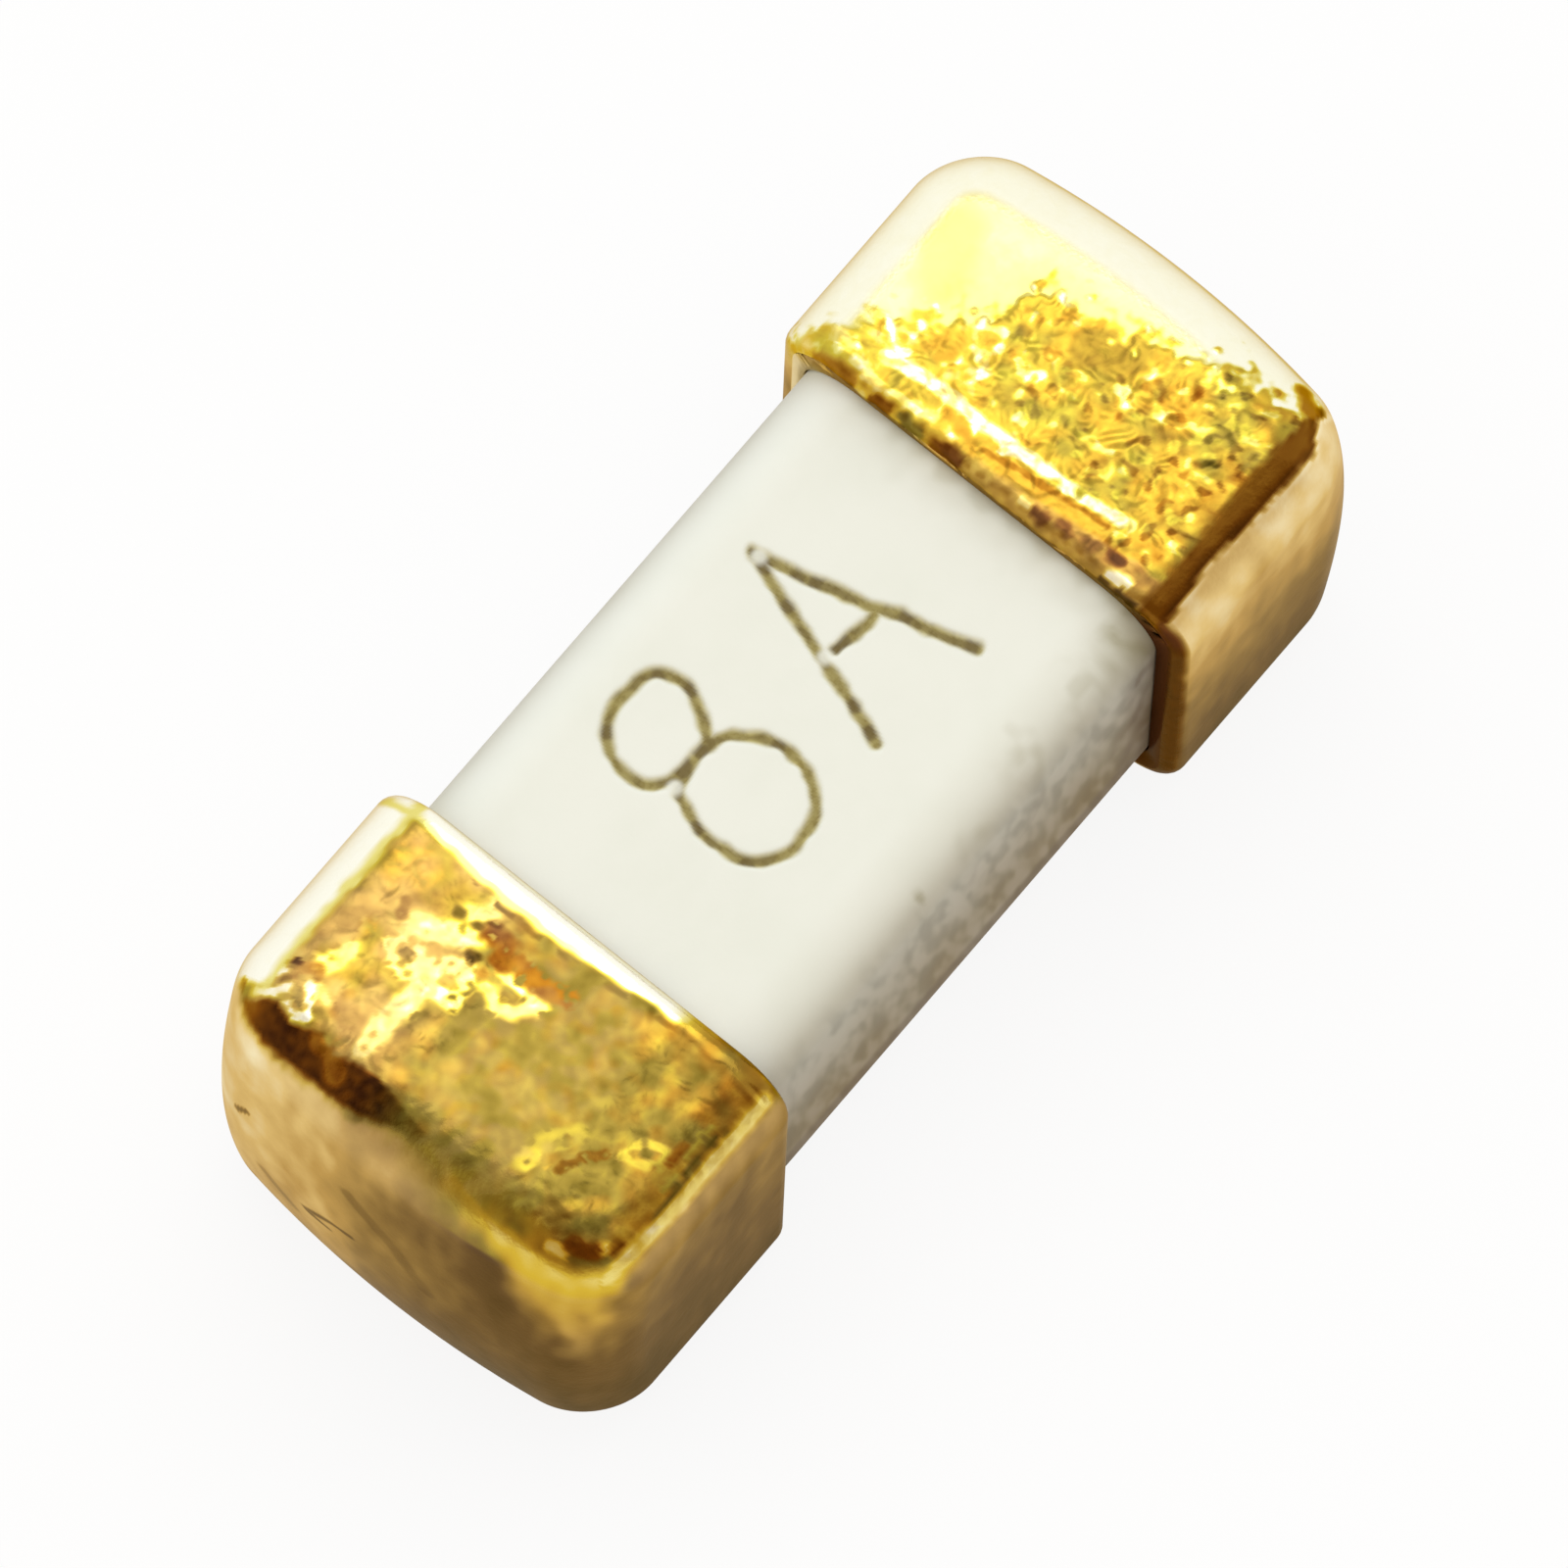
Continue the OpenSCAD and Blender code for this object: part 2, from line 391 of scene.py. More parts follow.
def wire_finish():
    """Tinned wire: bright, with fine lines and dull spots."""
    material, w, shader = new_material("tinned wire")
    dull = blotches(w, 8.0, 0.4, 0.1)
    w.put(shader.inputs["Base Color"], w.mix(dull, paint("d9dadb"), paint("aeb0b2")))
    shader.inputs["Metallic"].default_value = 1.0
    w.put(shader.inputs["Roughness"], w.blend(dull, 0.25, 0.45))
    bump(w, shader, grain(w, 30.0), 0.002)
    return material


def solder_finish():
    """Soft solder: dull grey with a frosted, slightly pitted skin."""
    material, w, shader = new_material("soft solder")
    frost = blotches(w, 5.0, 0.5, 0.15)
    w.put(shader.inputs["Base Color"], w.mix(frost, paint("b4b6b9"), paint("8d9094")))
    shader.inputs["Metallic"].default_value = 1.0
    w.put(shader.inputs["Roughness"], w.blend(frost, 0.4, 0.6))
    bump(w, shader, grain(w, 12.0), 0.008)
    return material


# Ceramic tube

def closed_curve(points):
    """A smooth closed line through the points: between two of them a cubic whose slope at each is half the
    step from the point before to the point after."""
    knots = np.array(points)
    before, after, next_after = (np.roll(knots, -k, 0)[:, None] for k in (-1, 1, 2))
    here = knots[:, None]
    t = np.linspace(0, 1, 6, endpoint=False)[None, :, None]
    start, end = (after - before) / 2, (next_after - here) / 2
    curve = (2 * t**3 - 3 * t**2 + 1) * here + (t**3 - 2 * t**2 + t) * start
    curve = curve + (3 * t**2 - 2 * t**3) * after + (t**3 - t**2) * end
    curve = curve.reshape(-1, 2)
    return np.concatenate([curve, curve[:1]]).tolist()


# Places (x, y) of the rating mark in millimetres: the letter's strokes, the figure's two closed lines,
# where the scribed line fades, and where it is burnt darkest.
LETTER = [
    [(0.525, 0.655), (0.579, 0.41), (0.625, 0.239), (0.676, 0.047), (0.733, -0.089), (0.766, -0.244),
     (0.84, -0.482)],
    [(0.525, 0.655), (0.493, 0.547), (0.427, 0.363), (0.377, 0.192), (0.325, 0.065), (0.284, -0.093),
     (0.165, -0.412)],
    [(0.655, 0.005), (0.604, 0.003), (0.518, 0.021), (0.4, 0.036)],
]
FIGURE = [
    [(-0.22, 0.61), (-0.19, 0.45), (-0.27, 0.3), (-0.36, 0.21), (-0.52, 0.21), (-0.67, 0.27), (-0.71, 0.41),
     (-0.66, 0.57), (-0.53, 0.65), (-0.37, 0.665)],
    [(-0.37, 0.2), (-0.23, 0.13), (-0.14, -0.03), (-0.14, -0.21), (-0.21, -0.35), (-0.34, -0.43),
     (-0.51, -0.435), (-0.66, -0.34), (-0.71, -0.19), (-0.695, -0.03), (-0.655, 0.08), (-0.6, 0.17)],
]
FADED_SPOTS = [(-0.615, 0.185), (0.53, 0.61), (0.345, 0.048)]
BURNT_SPOTS = [
    (0.51, 0.56), (0.56, 0.4), (0.6, 0.32), (0.43, 0.35), (0.42, 0.035), (0.46, 0.03), (0.25, -0.21),
    (0.19, -0.35), (0.83, -0.45), (0.74, -0.12), (-0.52, 0.21), (-0.5, 0.22), (-0.24, 0.6), (-0.19, 0.44),
    (-0.6, 0.61), (-0.14, -0.06), (-0.7, -0.02), (-0.69, -0.32), (-0.39, 0.2),
]
# Stains on the tube's upper edge: place (x, y), radius and strength
STAINS = [
    (0.6, -1.0, 0.16, 0.3), (-0.26, -1.02, 0.04, 0.5), (1.05, -0.98, 0.2, 0.22), (0.15, -1.03, 0.12, 0.2),
]


def rating_mark(x, y):
    """Depth of the burnt line from 0 to 1, and how dark it is burnt: a figure 8 and a letter A, with the
    slight wander of a scribed line."""
    wander = 0.008
    half_line = 0.031
    p = np.stack([x, y, np.zeros_like(x)], -1)
    wx = x + wander * soft_noise(p, 0.12, 11)
    wy = y + wander * soft_noise(p, 0.12, 12)
    strokes = LETTER + [closed_curve(ring) for ring in FIGURE]
    d = np.min([near_stroke(wx, wy, points) for points in strokes], axis=0)
    half = half_line + 0.01 * soft_noise(p, 0.08, 13) + 0.004 * ease(x, 0.5, 0.6)
    depth = 1 - ease(d, half * 0.4, half * 1.5)
    for cx, cy in FADED_SPOTS:
        depth = depth * (1 - 0.75 * ease(np.hypot(x - cx, y - cy), 0.06, 0.02))
    core = ease(d + 0.008 * soft_noise(p, 0.05, 17), half * 0.95, half * 0.35)
    burnt = core * (0.42 + 0.25 * ease(soft_noise(p, 0.11, 16), -0.1, 0.4))
    on_line = ease(d, half * 1.1, half * 0.7)
    for cx, cy in BURNT_SPOTS:
        burnt = np.maximum(burnt, 0.8 * ease(np.hypot(x - cx, y - cy), 0.07, 0.025) * on_line)
    return depth, burnt


def tube_rings():
    """Rings of the tube, each a place x and its points (y, z): the square section is carried along the
    outside, round one end, back through the bore and round the other end. Gives the count of rings on the
    outside too."""
    base, out = section(BODY_HALF, BODY_EDGE_R, (12, 12, 124, 40), 16)
    circle = base / np.linalg.norm(base, axis=1, keepdims=True) * BORE_R
    flat_x = BODY_END_X - BODY_END_R
    mark_from, mark_to = -1.0, 1.1
    span = np.concatenate([
        np.linspace(-flat_x, -RIM_X, 10, endpoint=False),
        np.linspace(-RIM_X, mark_from, 20, endpoint=False),
        np.linspace(mark_from, mark_to, 168, endpoint=False),
        np.linspace(mark_to, RIM_X, 16, endpoint=False),
        np.linspace(RIM_X, flat_x, 11),
    ])
    bend = np.linspace(0, np.pi / 2, 8)[1:]
    ends = [(flat_x + BODY_END_R * np.sin(b), base - BODY_END_R * (1 - np.cos(b)) * out) for b in bend]
    last = ends[-1][1]
    shares = np.linspace(0, 1, 5)[1:]
    rings = [(x, base) for x in span] + ends
    rings += [(BODY_END_X, last + (circle - last) * t) for t in shares]
    rings += [(x, circle) for x in np.linspace(BODY_END_X, -BODY_END_X, 9)[1:]]
    rings += [(-BODY_END_X, circle + (last - circle) * t) for t in shares]
    rings += [(-x, ring) for x, ring in ends[-2::-1]]
    return rings, len(span)


def ceramic_masks(x, y, z, skin):
    """Masks of the tube, on its outside where skin is true: the mark, painted shade on the sides, darker
    downward, and a mottle, mostly on the -Y side, and stains on the upper edge with painted shade by the cap
    beyond the letter and along the lower edge."""
    depth, burnt = rating_mark(x, y)
    mark = np.where(skin & (z > BODY_HALF - 0.001), depth, 0.0)
    front = ease(y, -0.8, -0.95)
    side = np.where(skin, ease(z, 1.0, 0.6), 0.0)

    # The painted side shade, darker downward, and the mottle, drawn slanting on the -Y side, which the
    # photograph shows shortened
    q = np.stack([x + 0.2 * front * z, y, (1 - 0.72 * front) * z], -1)
    painted_side_shade = 0.3 * ease(z, 1.06, 0.85) + 0.6 * ease(z, 0.9, -0.5) - 0.4 * ease(z, -0.8, -1.05)
    painted_side_shade = np.where(skin, painted_side_shade * (1 + 0.15 * soft_noise(q, 0.25, 10)), 0.0)
    mottle = soft_noise(q, 0.09, 18) + 0.5 * soft_noise(q, 0.05, 19) + 0.5 * soft_noise(q, 0.2, 20)
    shown = side * (0.45 + 0.55 * front)

    # The stains on the upper edge, and painted shade by the cap beyond the letter, on the top and the -Y
    # side, and along the lower edge of the -Y half
    p = np.stack([x, y, seen_height(z, front)], -1)
    ruffle = 0.05 * soft_noise(p, 0.12, 14)
    ragged = ease(soft_noise(p, 0.09, 15), -0.3, 0.5)
    near_rim = 0.16 * ease(x + ruffle, RIM_X - 0.28, RIM_X) + 0.2 * ease(x + ruffle, RIM_X - 0.08, RIM_X)
    stains_and_shade = near_rim * ease(y, 1.0, 0.4)
    for cx, cy, r, amount in STAINS:
        stains_and_shade = np.maximum(stains_and_shade, amount * ragged * ease(np.hypot(x - cx, y - cy) + ruffle, 1.3 * r, 0.0))
    # Painted shade on the -Y side by the rim, and along the lower edge
    by_rim = 0.68 * ease(x + 2 * ruffle, RIM_X - 0.32, RIM_X - 0.08) * ease(y + ruffle, -0.76, -0.96)
    low_line = 0.52 * ease(z, -0.54, -0.66) * ease(z, -1.0, -0.9) * ease(y, 0.0, -0.5)
    stains_and_shade = np.maximum(np.where(z > 0.2, stains_and_shade, 0.0), np.maximum(by_rim * (0.6 + 0.4 * ragged), low_line))
    return {"mark": mark, "burnt": burnt, "side": side, "painted_side_shade": painted_side_shade, "stains_and_shade": np.where(skin, stains_and_shade, 0.0),
            "dirty": shown * ease(mottle, -0.5, 0.9), "bare": shown * ease(-mottle, -0.5, 0.9)}


def ceramic_body():
    """The tube as one closed skin, whose top sinks by the mark's depth under the scribed line."""
    rings, outside = tube_rings()
    grid = np.stack([np.column_stack([np.full(len(ring), x), ring]) for x, ring in rings])
    skin = (np.arange(len(grid)) < outside)[:, None]
    masks = ceramic_masks(grid[..., 0], grid[..., 1], grid[..., 2], skin)
    grid[..., 2] += AXIS_Z - MARK_DEPTH * masks["mark"]
    new_piece("ceramic_tube", grid, masks, ceramic_finish(), ["ceramic_body"], wrap=True)


# End caps

def beyond_form(q, inset):
    """How far places lie outside the cap's form drawn in by inset, below 0 inside it: a box with all its
    edges rounded by one radius, whose closed end drops with the square of the distance from the axis."""
    half, r, end = HALF_CAP - inset, CAP_EDGE_R - inset, HALF_LEN - inset
    x, y, z = q[..., 0], np.abs(q[..., 1]), np.abs(q[..., 2])
    past_end = np.maximum(x + DOME_DROP * (y * y + z * z) / half**2 - (end - r), 0)
    past_side = np.maximum(y - (half - r), 0)
    past_top = np.maximum(z - (half - r), 0)
    return np.sqrt(past_end**2 + past_side**2 + past_top**2) - r


def cap_reach(start, direction, inset):
    """How far each ray runs from a point on the axis to the cap's form, found by halving a span."""
    halvings = 34
    low = np.zeros(len(direction))
    high = np.full(len(direction), 2 * HALF_LEN)
    for _ in range(halvings):
        middle = (low + high) / 2
        inside = beyond_form(start + direction * middle[:, None], inset) < 0
        low = np.where(inside, middle, low)
        high = np.where(inside, high, middle)
    return low


def cap_rings(base, inset, spots, turns):
    """Rings of the cap's form, drawn in by inset: across the axis at the spots, then turned to the end."""
    way = base / np.linalg.norm(base, axis=1, keepdims=True)
    rays = [(x, 0.0) for x in spots] + [(spots[-1], turn) for turn in turns]
    rings = []
    for x, turn in rays:
        start = np.array([x, 0.0, 0.0])
        direction = np.column_stack([np.full(len(way), np.sin(turn)), way * np.cos(turn)])
        rings.append(start + direction * cap_reach(start, direction, inset)[:, None])
    return rings


def grid_normals(grid):
    """Outward normals of the rings, from the steps round a ring and from ring to ring."""
    round_ring = np.roll(grid, -1, 1) - np.roll(grid, 1, 1)
    from_ring = np.gradient(grid, axis=0)
    normal = np.cross(round_ring, from_ring)
    return normal / np.maximum(np.linalg.norm(normal, axis=-1, keepdims=True), 1e-12)


def skin_noises(u, y, z, seen, seed):
    """Places on a cap, drawn together in height where seen is 1, and a fine, a small and a broad noise.
    These fade from the noise on plain places to that on drawn ones, so that no streaks show between."""
    plain, tall = (np.stack([u, y, seen_height(z, full)], -1) for full in (0.0, 1.0))
    noises = [lay(soft_noise(plain, size, seed + k), seen, soft_noise(tall, size, seed + k))
              for k, size in enumerate((0.05, 0.11, 0.3))]
    return np.stack([u, y, seen_height(z, seen)], -1), noises


class Coat:
    """Tone and hue of the gold on one cap, changed place by place."""

    def __init__(self, tone, hue):
        self.tone = tone
        self.hue = hue

    def lay(self, where, tone=None, hue=None):
        """Changes what is given where the mask is 1, and partly where it is between 0 and 1."""
        if tone is not None:
            self.tone = lay(self.tone, where, tone)
        if hue is not None:
            self.hue = lay(self.hue, where, hue)

    def lay_patches(self, u, y, patches, where, ruffle, ragged):
        """Lays the patches in their order where the mask is 1, with ruffled edges and ragged tones."""
        for points, half, tone, hue in patches:
            self.lay(where * streak(u, y, points, half, ruffle), tone + ragged, hue)


# Lines on the caps' tops, in millimetres. u runs along the fuse from its middle to either end. These are
# stops (y, u): where the far cap's crumpled gold ends and its rim begins, where the near cap's rim and its
# crumpled gold end, and the two sides of the painted dark reflection at its closed end.
FAR_CRUMPLED_END = [
    (-1.0, 2.78), (-0.86, 2.72), (-0.71, 2.68), (-0.46, 2.62), (-0.07, 2.49), (0.15, 2.42), (0.28, 2.44),
    (0.41, 2.41), (0.46, 2.22), (0.56, 2.05), (0.77, 1.94), (0.96, 1.72), (1.14, 1.51),
]
FAR_RIM = [(-0.9, 1.61), (-0.7, 1.59), (-0.4, 1.55), (0.0, 1.52), (0.3, 1.5), (0.9, 1.5), (1.1, 1.46)]
NEAR_RIM = [(-1.1, 1.56), (-0.6, 1.53), (-0.1, 1.58), (0.28, 1.6), (0.85, 1.57), (1.02, 1.54)]
NEAR_TOP_END = [(-1.13, 2.57), (-1.09, 2.71), (-0.98, 2.82), (-0.46, 2.84), (0.0, 2.74), (0.4, 2.66)]
NEAR_BAND_INNER = [
    (0.0, 2.7), (0.2, 2.66), (0.37, 2.64), (0.56, 2.67), (0.67, 2.64), (0.74, 2.66), (0.83, 2.69),
    (0.9, 2.65), (0.95, 2.65), (1.03, 2.69), (1.1, 2.71), (1.15, 2.63),
]
NEAR_BAND_OUTER = [
    (-0.6, 2.95), (-0.3, 2.9), (-0.1, 2.83), (0.05, 2.79), (0.14, 2.8), (0.32, 2.85), (0.7, 2.85),
    (0.9, 2.84), (1.05, 2.78), (1.2, 2.62),
]
# The outer side of the painted dark reflection on the far cap's long edge, as stops (u, y)
FAR_BAND_OUTER = [(1.5, -1.1), (1.7, -1.085), (1.83, -1.065), (2.1, -1.09), (2.6, -1.1), (2.74, -1.0)]
# The gold at the near cap's seen corner, a painted highlight: its side on the end as stops (z, y), and on
# the flank as (z, u)
CORNER_ON_END = [
    (0.0, -0.98), (0.33, -0.94), (0.65, -0.87), (0.87, -0.74), (0.97, -0.64), (1.05, -0.5), (1.12, -0.36),
]
CORNER_ON_FLANK = [(0.0, 2.78), (0.33, 2.75), (0.77, 2.72), (0.99, 2.65), (1.08, 2.55), (1.15, 2.5)]
# Lines of places (u, y): the far cap's painted shadow and painted highlight line behind the rim, and the
# near cap's painted highlight along its long edge
FAR_SHADOW = [(1.58, 0.1), (1.61, -0.1), (1.64, -0.33), (1.66, -0.46), (1.66, -0.6)]
FAR_HIGHLIGHT_BEHIND_RIM = [
    (1.65, 0.75), (1.68, 0.55), (1.69, 0.35), (1.68, 0.18), (1.69, 0.0), (1.69, -0.26), (1.7, -0.41),
    (1.73, -0.68),
]
NEAR_LONG_EDGE = [(2.7, -1.12), (2.24, -1.15), (1.9, -1.145), (1.55, -1.14)]

# Patches: a line of places (u, y), half its width, its tone and its hue. Those of the far cap lie on its
# crumpled gold and on its rim, and those of the near cap on its top: cream and brown patches above, a few
# below.
FAR_PATCHES = [
    ([(2.32, 0.02), (2.4, -0.14)], 0.12, 0.5, 0.4),
    ([(1.88, 0.6), (1.86, 0.54)], 0.07, 0.6, 0.9),
    ([(1.62, 0.65), (1.56, 0.64)], 0.035, 0.58, 0.1),
    ([(1.63, 0.55), (1.61, 0.43)], 0.035, 0.62, 0.4),
    ([(1.61, 0.33), (1.59, 0.23)], 0.04, 0.58, 1.0),
    ([(1.54, 0.85), (1.53, 0.76), (1.52, 0.62), (1.53, 0.5), (1.55, 0.39)], 0.024, 0.88, 0.5),
    ([(1.57, 0.15), (1.56, -0.1), (1.59, -0.4), (1.63, -0.56)], 0.04, 0.62, 1.0),
]
FAR_PITS = [
    ([(1.46, 1.0), (1.47, 0.91), (1.46, 0.81)], 0.035, 0.4, 1.0),
    ([(1.46, 0.66), (1.46, 0.59)], 0.03, 0.28, 1.0),
    ([(1.47, 0.52), (1.46, 0.4)], 0.028, 0.4, 0.0),
    ([(1.46, 0.3), (1.48, 0.24), (1.48, 0.17)], 0.034, 0.2, 1.0),
    ([(1.49, 0.1), (1.5, 0.0)], 0.025, 0.66, 0.8),
    ([(1.5, -0.28), (1.51, -0.33)], 0.03, 0.18, 1.0),
    ([(1.53, -0.43), (1.51, -0.49)], 0.028, 0.26, 1.0),
    ([(1.54, -0.58), (1.56, -0.64)], 0.03, 0.24, 0.7),
    ([(1.58, -0.7), (1.57, -0.76)], 0.034, 0.1, 1.0),
    ([(1.51, -0.2), (1.5, -0.24)], 0.025, 0.82, 0.8),
    ([(1.49, -0.76), (1.5, -0.84)], 0.034, 0.97, 0.5),
    ([(1.455, -0.73), (1.452, -0.84), (1.46, -0.92)], 0.014, 0.15, 0.3),
]
NEAR_PATCHES = [
    ([(1.69, 0.93), (1.74, 0.81), (1.85, 0.87)], 0.08, 0.62, 1.0),
    ([(2.17, 0.92), (2.09, 0.87)], 0.06, 0.52, 0.8),
    ([(1.94, 0.69), (2.0, 0.69)], 0.06, 0.76, 0.4),
    ([(1.89, 0.77), (1.96, 0.74)], 0.035, 0.42, 1.0),
    ([(1.75, 0.5), (1.71, 0.43), (1.65, 0.42)], 0.06, 0.8, 0.2),
    ([(1.95, 0.64), (1.91, 0.55), (1.87, 0.46), (1.8, 0.4)], 0.075, 0.86, 0.4),
    ([(2.06, 0.67), (2.12, 0.7), (2.17, 0.63), (2.18, 0.55), (2.14, 0.51), (2.05, 0.57)], 0.04, 0.84, 0.35),
    ([(2.07, 0.47), (2.0, 0.41), (1.97, 0.32), (2.05, 0.3), (2.15, 0.29), (2.15, 0.38), (2.07, 0.47)],
     0.055, 0.88, 0.4),
    ([(1.88, 0.21), (1.88, 0.09), (1.89, 0.02)], 0.04, 0.88, 0.4),
    ([(1.98, 0.21), (2.02, 0.11), (2.0, 0.04), (1.9, -0.04)], 0.05, 0.84, 0.3),
    ([(2.18, 0.45), (2.29, 0.45), (2.37, 0.47), (2.48, 0.47), (2.59, 0.48)], 0.065, 0.84, 0.25),
    ([(2.4, 0.87), (2.35, 0.84), (2.26, 0.82)], 0.05, 0.82, 0.1),
    ([(1.99, 0.52), (1.99, 0.5)], 0.035, 0.6, 1.0),
    ([(2.1, 0.62), (2.1, 0.6)], 0.03, 0.42, 0.3),
    ([(1.91, 0.38), (1.91, 0.35)], 0.035, 0.14, 0.2),
    ([(1.78, 0.55), (1.78, 0.53)], 0.03, 0.25, 0.1),
    ([(1.79, 0.44), (1.77, 0.41)], 0.03, 0.2, 0.1),
    ([(2.09, 0.38), (2.09, 0.36)], 0.03, 0.64, 0.5),
    ([(1.95, 0.27), (1.94, 0.25)], 0.04, 0.45, 1.0),
    ([(1.97, 0.12), (1.95, 0.08)], 0.03, 0.42, 0.2),
    ([(1.76, 0.36), (1.77, 0.26), (1.84, 0.24)], 0.06, 0.24, 1.0),
    ([(1.8, 0.17), (1.82, 0.06), (1.82, 0.0), (1.79, -0.12)], 0.05, 0.33, 1.0),
    ([(2.5, 0.68), (2.52, 0.59)], 0.06, 0.46, 1.0),
    ([(2.44, 0.69), (2.51, 0.63), (2.57, 0.55), (2.64, 0.56)], 0.04, 0.52, 0.9),
    ([(2.36, 0.9), (2.31, 0.84), (2.23, 0.83)], 0.032, 0.83, 0.2),
    ([(2.5, 0.82), (2.52, 0.75)], 0.035, 0.78, 0.6),
    ([(2.68, 1.06), (2.61, 0.95)], 0.022, 0.94, 0.4),
    ([(2.58, 0.94), (2.64, 0.88), (2.66, 0.82), (2.63, 0.78), (2.56, 0.82), (2.51, 0.86)], 0.028, 0.97, 0.4),
    ([(2.57, 0.88), (2.62, 0.84)], 0.02, 0.5, 0.0),
    ([(2.55, 0.98), (2.48, 0.95), (2.43, 0.89), (2.45, 0.86)], 0.028, 0.42, 1.3),
    ([(2.59, 1.1), (2.53, 1.0)], 0.025, 1.0, 0.5),
    ([(2.53, 1.08), (2.45, 0.98)], 0.013, 0.1, 1.0),
    ([(2.54, -0.47), (2.41, -0.49), (2.27, -0.58)], 0.05, 0.56, 0.0),
    ([(2.54, -0.49), (2.47, -0.5)], 0.03, 0.66, 0.1),
    ([(2.46, -0.62), (2.36, -0.665), (2.27, -0.74)], 0.026, 0.22, 0.5),
    ([(2.48, -0.575), (2.46, -0.585)], 0.018, 0.72, 1.0),
    ([(2.21, -0.81), (2.21, -0.89), (2.15, -0.97), (2.07, -0.96), (2.085, -0.9), (2.15, -0.82),
      (2.21, -0.81)], 0.024, 0.64, 0.1),
    ([(2.16, -0.873), (2.12, -0.92)], 0.022, 0.22, 0.0),
    ([(2.09, -1.01), (2.0, -1.025)], 0.036, 0.28, 1.0),
    ([(1.83, -1.04), (1.98, -1.04), (2.21, -1.06)], 0.02, 0.56, 0.0),
    ([(1.8, -1.1), (1.98, -1.09), (2.18, -1.11), (2.36, -1.11)], 0.02, 0.24, 0.0),
    ([(2.765, -0.81), (2.745, -0.88)], 0.028, 0.86, 1.0),
    ([(2.64, -1.0), (2.58, -1.05)], 0.026, 0.8, 1.0),
    ([(2.69, -0.9), (2.65, -0.99)], 0.036, 0.16, 1.0),
    ([(2.58, -1.07), (2.54, -1.075)], 0.024, 0.18, 0.8),
]
# Scratches on the near cap's closed end: a line of places (y, z), half its width and its strength
SCRATCHES = [
    ([(0.47, -0.28), (0.3, -0.12), (0.16, -0.06)], 0.02, 0.7),
    ([(0.45, -0.3), (0.3, -0.26)], 0.018, 0.7),
    ([(0.95, 0.2), (0.86, 0.34)], 0.016, 0.6),
    ([(0.2, 0.5), (-0.1, 0.3), (-0.3, 0.0)], 0.05, 0.25),
    ([(0.75, -0.35), (0.55, -0.5)], 0.04, 0.25),
]


